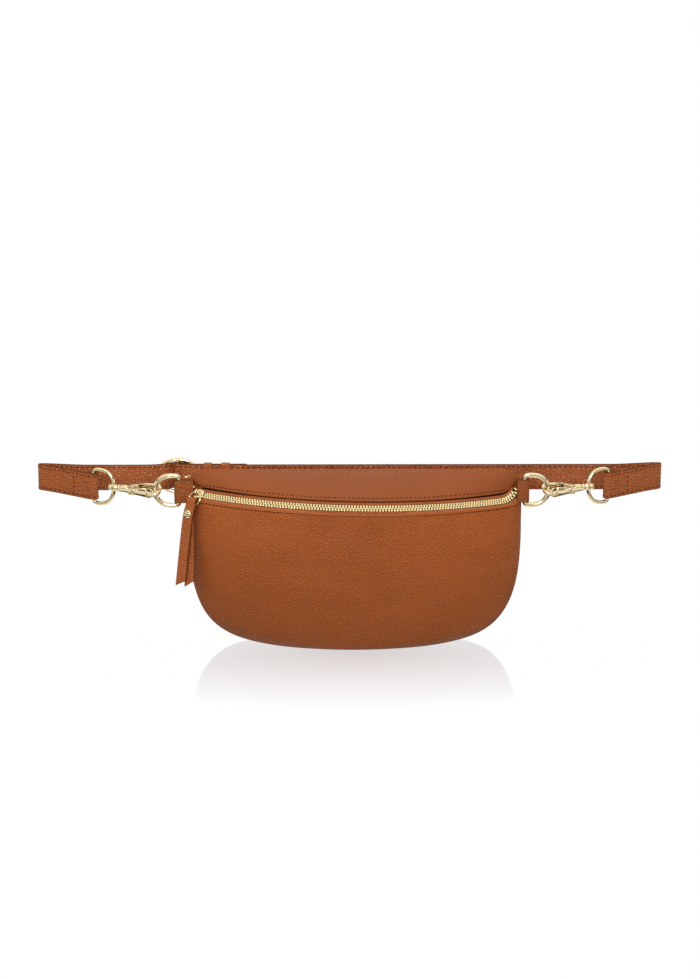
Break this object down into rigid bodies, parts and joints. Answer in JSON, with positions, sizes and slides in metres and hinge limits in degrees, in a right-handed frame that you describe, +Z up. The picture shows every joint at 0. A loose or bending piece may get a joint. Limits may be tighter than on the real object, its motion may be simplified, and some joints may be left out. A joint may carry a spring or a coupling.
{
  "type": "waist pack",
  "caption": "Half-moon leather waist pack with a curved zip, side D-rings, and a buckled belt on swivel trigger hooks.",
  "frame": {"origin": "centre of the flat base the pack stands on", "axes": "+X along the belt to the wearer's left seen from the front, +Y from the front to the back, +Z up"},
  "size_m": [0.5978, 0.1271, 0.1663],
  "materials": {
    "leather": "pebbled, satin",
    "edge_leather": "smooth, satin",
    "strap_leather": "strong pebble, satin",
    "zip_tape": "woven, matte",
    "lining": "woven, matte",
    "zip_metal": "polished pale gold",
    "gold_metal": "polished pale gold"
  },
  "bodies": {
    "pack_body": {"front_panel": "leather", "back_panel": "leather", "top_panel": "leather", "left_tab": "leather", "right_tab": "leather", "upper_zip_facing": "edge_leather", "upper_zip_tape": "zip_tape", "lower_zip_tape": "zip_tape", "front_lining": "lining", "back_lining": "lining", "slip_pocket": "lining", "upper_zip_teeth": "zip_metal", "lower_zip_teeth": "zip_metal", "left_zip_stop": "zip_metal", "right_zip_stop": "zip_metal"},
    "slider": {"zip_slider": "zip_metal"},
    "zip_pull": {"pull_ring": "gold_metal", "pull_strap": "leather", "pull_rivet_post": "gold_metal", "pull_rivet_cap": "gold_metal"},
    "left_ring": {"left_d_ring": "gold_metal"},
    "right_ring": {"right_d_ring": "gold_metal"},
    "belt": {"strap_long": "strap_leather", "strap_short": "strap_leather", "left_swivel_eye": "gold_metal", "right_swivel_eye": "gold_metal", "buckle_frame": "gold_metal", "fixed_keeper": "leather"},
    "left_snap": {"left_hook": "gold_metal", "left_gate_pin": "gold_metal", "left_gate_spring": "gold_metal"},
    "right_snap": {"right_hook": "gold_metal", "right_gate_pin": "gold_metal", "right_gate_spring": "gold_metal"},
    "left_snap_gate": {"left_gate": "gold_metal"},
    "right_snap_gate": {"right_gate": "gold_metal"},
    "prong": {"buckle_prong": "gold_metal"},
    "loose_keeper": {"sliding_keeper": "leather"}
  },
  "joints": [
    {"name": "zip_travel", "type": "hinge", "parent": "pack_body", "child": "slider", "pos_m": [0, 0.203, 0.139], "axis": [0.0192, 0, 0.9998], "range_deg": [0, 72]},
    {"name": "pull_swing", "type": "hinge", "parent": "slider", "child": "zip_pull", "pos_m": [-0.14839, 0.00809, 0.14514], "axis": [-0.7953, 0.606, 0.0153], "range_deg": [0, 100]},
    {"name": "left_ring_swing", "type": "hinge", "parent": "pack_body", "child": "left_ring", "pos_m": [-0.1653, 0.014, 0.1453], "axis": [0, 0, 1], "range_deg": [-1.5, 1.5]},
    {"name": "right_ring_swing", "type": "hinge", "parent": "pack_body", "child": "right_ring", "pos_m": [0.1593, 0.014, 0.1453], "axis": [0, 0, 1], "range_deg": [-1.5, 1.5]},
    {"name": "belt_swing", "type": "hinge", "parent": "pack_body", "child": "belt", "pos_m": [0, 0.014, 0.1453], "axis": [1, 0, 0], "range_deg": [-18, 18]},
    {"name": "left_snap_swivel", "type": "hinge", "parent": "belt", "child": "left_snap", "pos_m": [-0.1877, 0.014, 0.1453], "axis": [0.9397, -0.342, 0], "range_deg": [-19, 19]},
    {"name": "right_snap_swivel", "type": "hinge", "parent": "belt", "child": "right_snap", "pos_m": [0.1817, 0.014, 0.1453], "axis": [0.9397, 0.342, 0], "range_deg": [-19, 19]},
    {"name": "left_gate_hinge", "type": "hinge", "parent": "left_snap", "child": "left_snap_gate", "pos_m": [-0.20996, 0.01571, 0.1453], "axis": [0, 0, 1], "range_deg": [0, 16], "stiffness_Nm_per_rad": 0.01, "springref_deg": -11.46},
    {"name": "right_gate_hinge", "type": "hinge", "parent": "right_snap", "child": "right_snap_gate", "pos_m": [0.20396, 0.01571, 0.1453], "axis": [0, 0, -1], "range_deg": [0, 16], "stiffness_Nm_per_rad": 0.01, "springref_deg": -11.46},
    {"name": "prong_hinge", "type": "hinge", "parent": "belt", "child": "prong", "pos_m": [-0.169, 0.074, 0.1453], "axis": [0, 0, -1], "range_deg": [0, 100]},
    {"name": "keeper_slide", "type": "slide", "parent": "belt", "child": "loose_keeper", "axis": [1, 0, 0], "range_m": [-0.006, 0.014]}
  ],
  "couplings": [
    {"joint": "left_snap_swivel", "follows": "belt_swing", "ratio": -1},
    {"joint": "right_snap_swivel", "follows": "belt_swing", "ratio": -1}
  ]
}
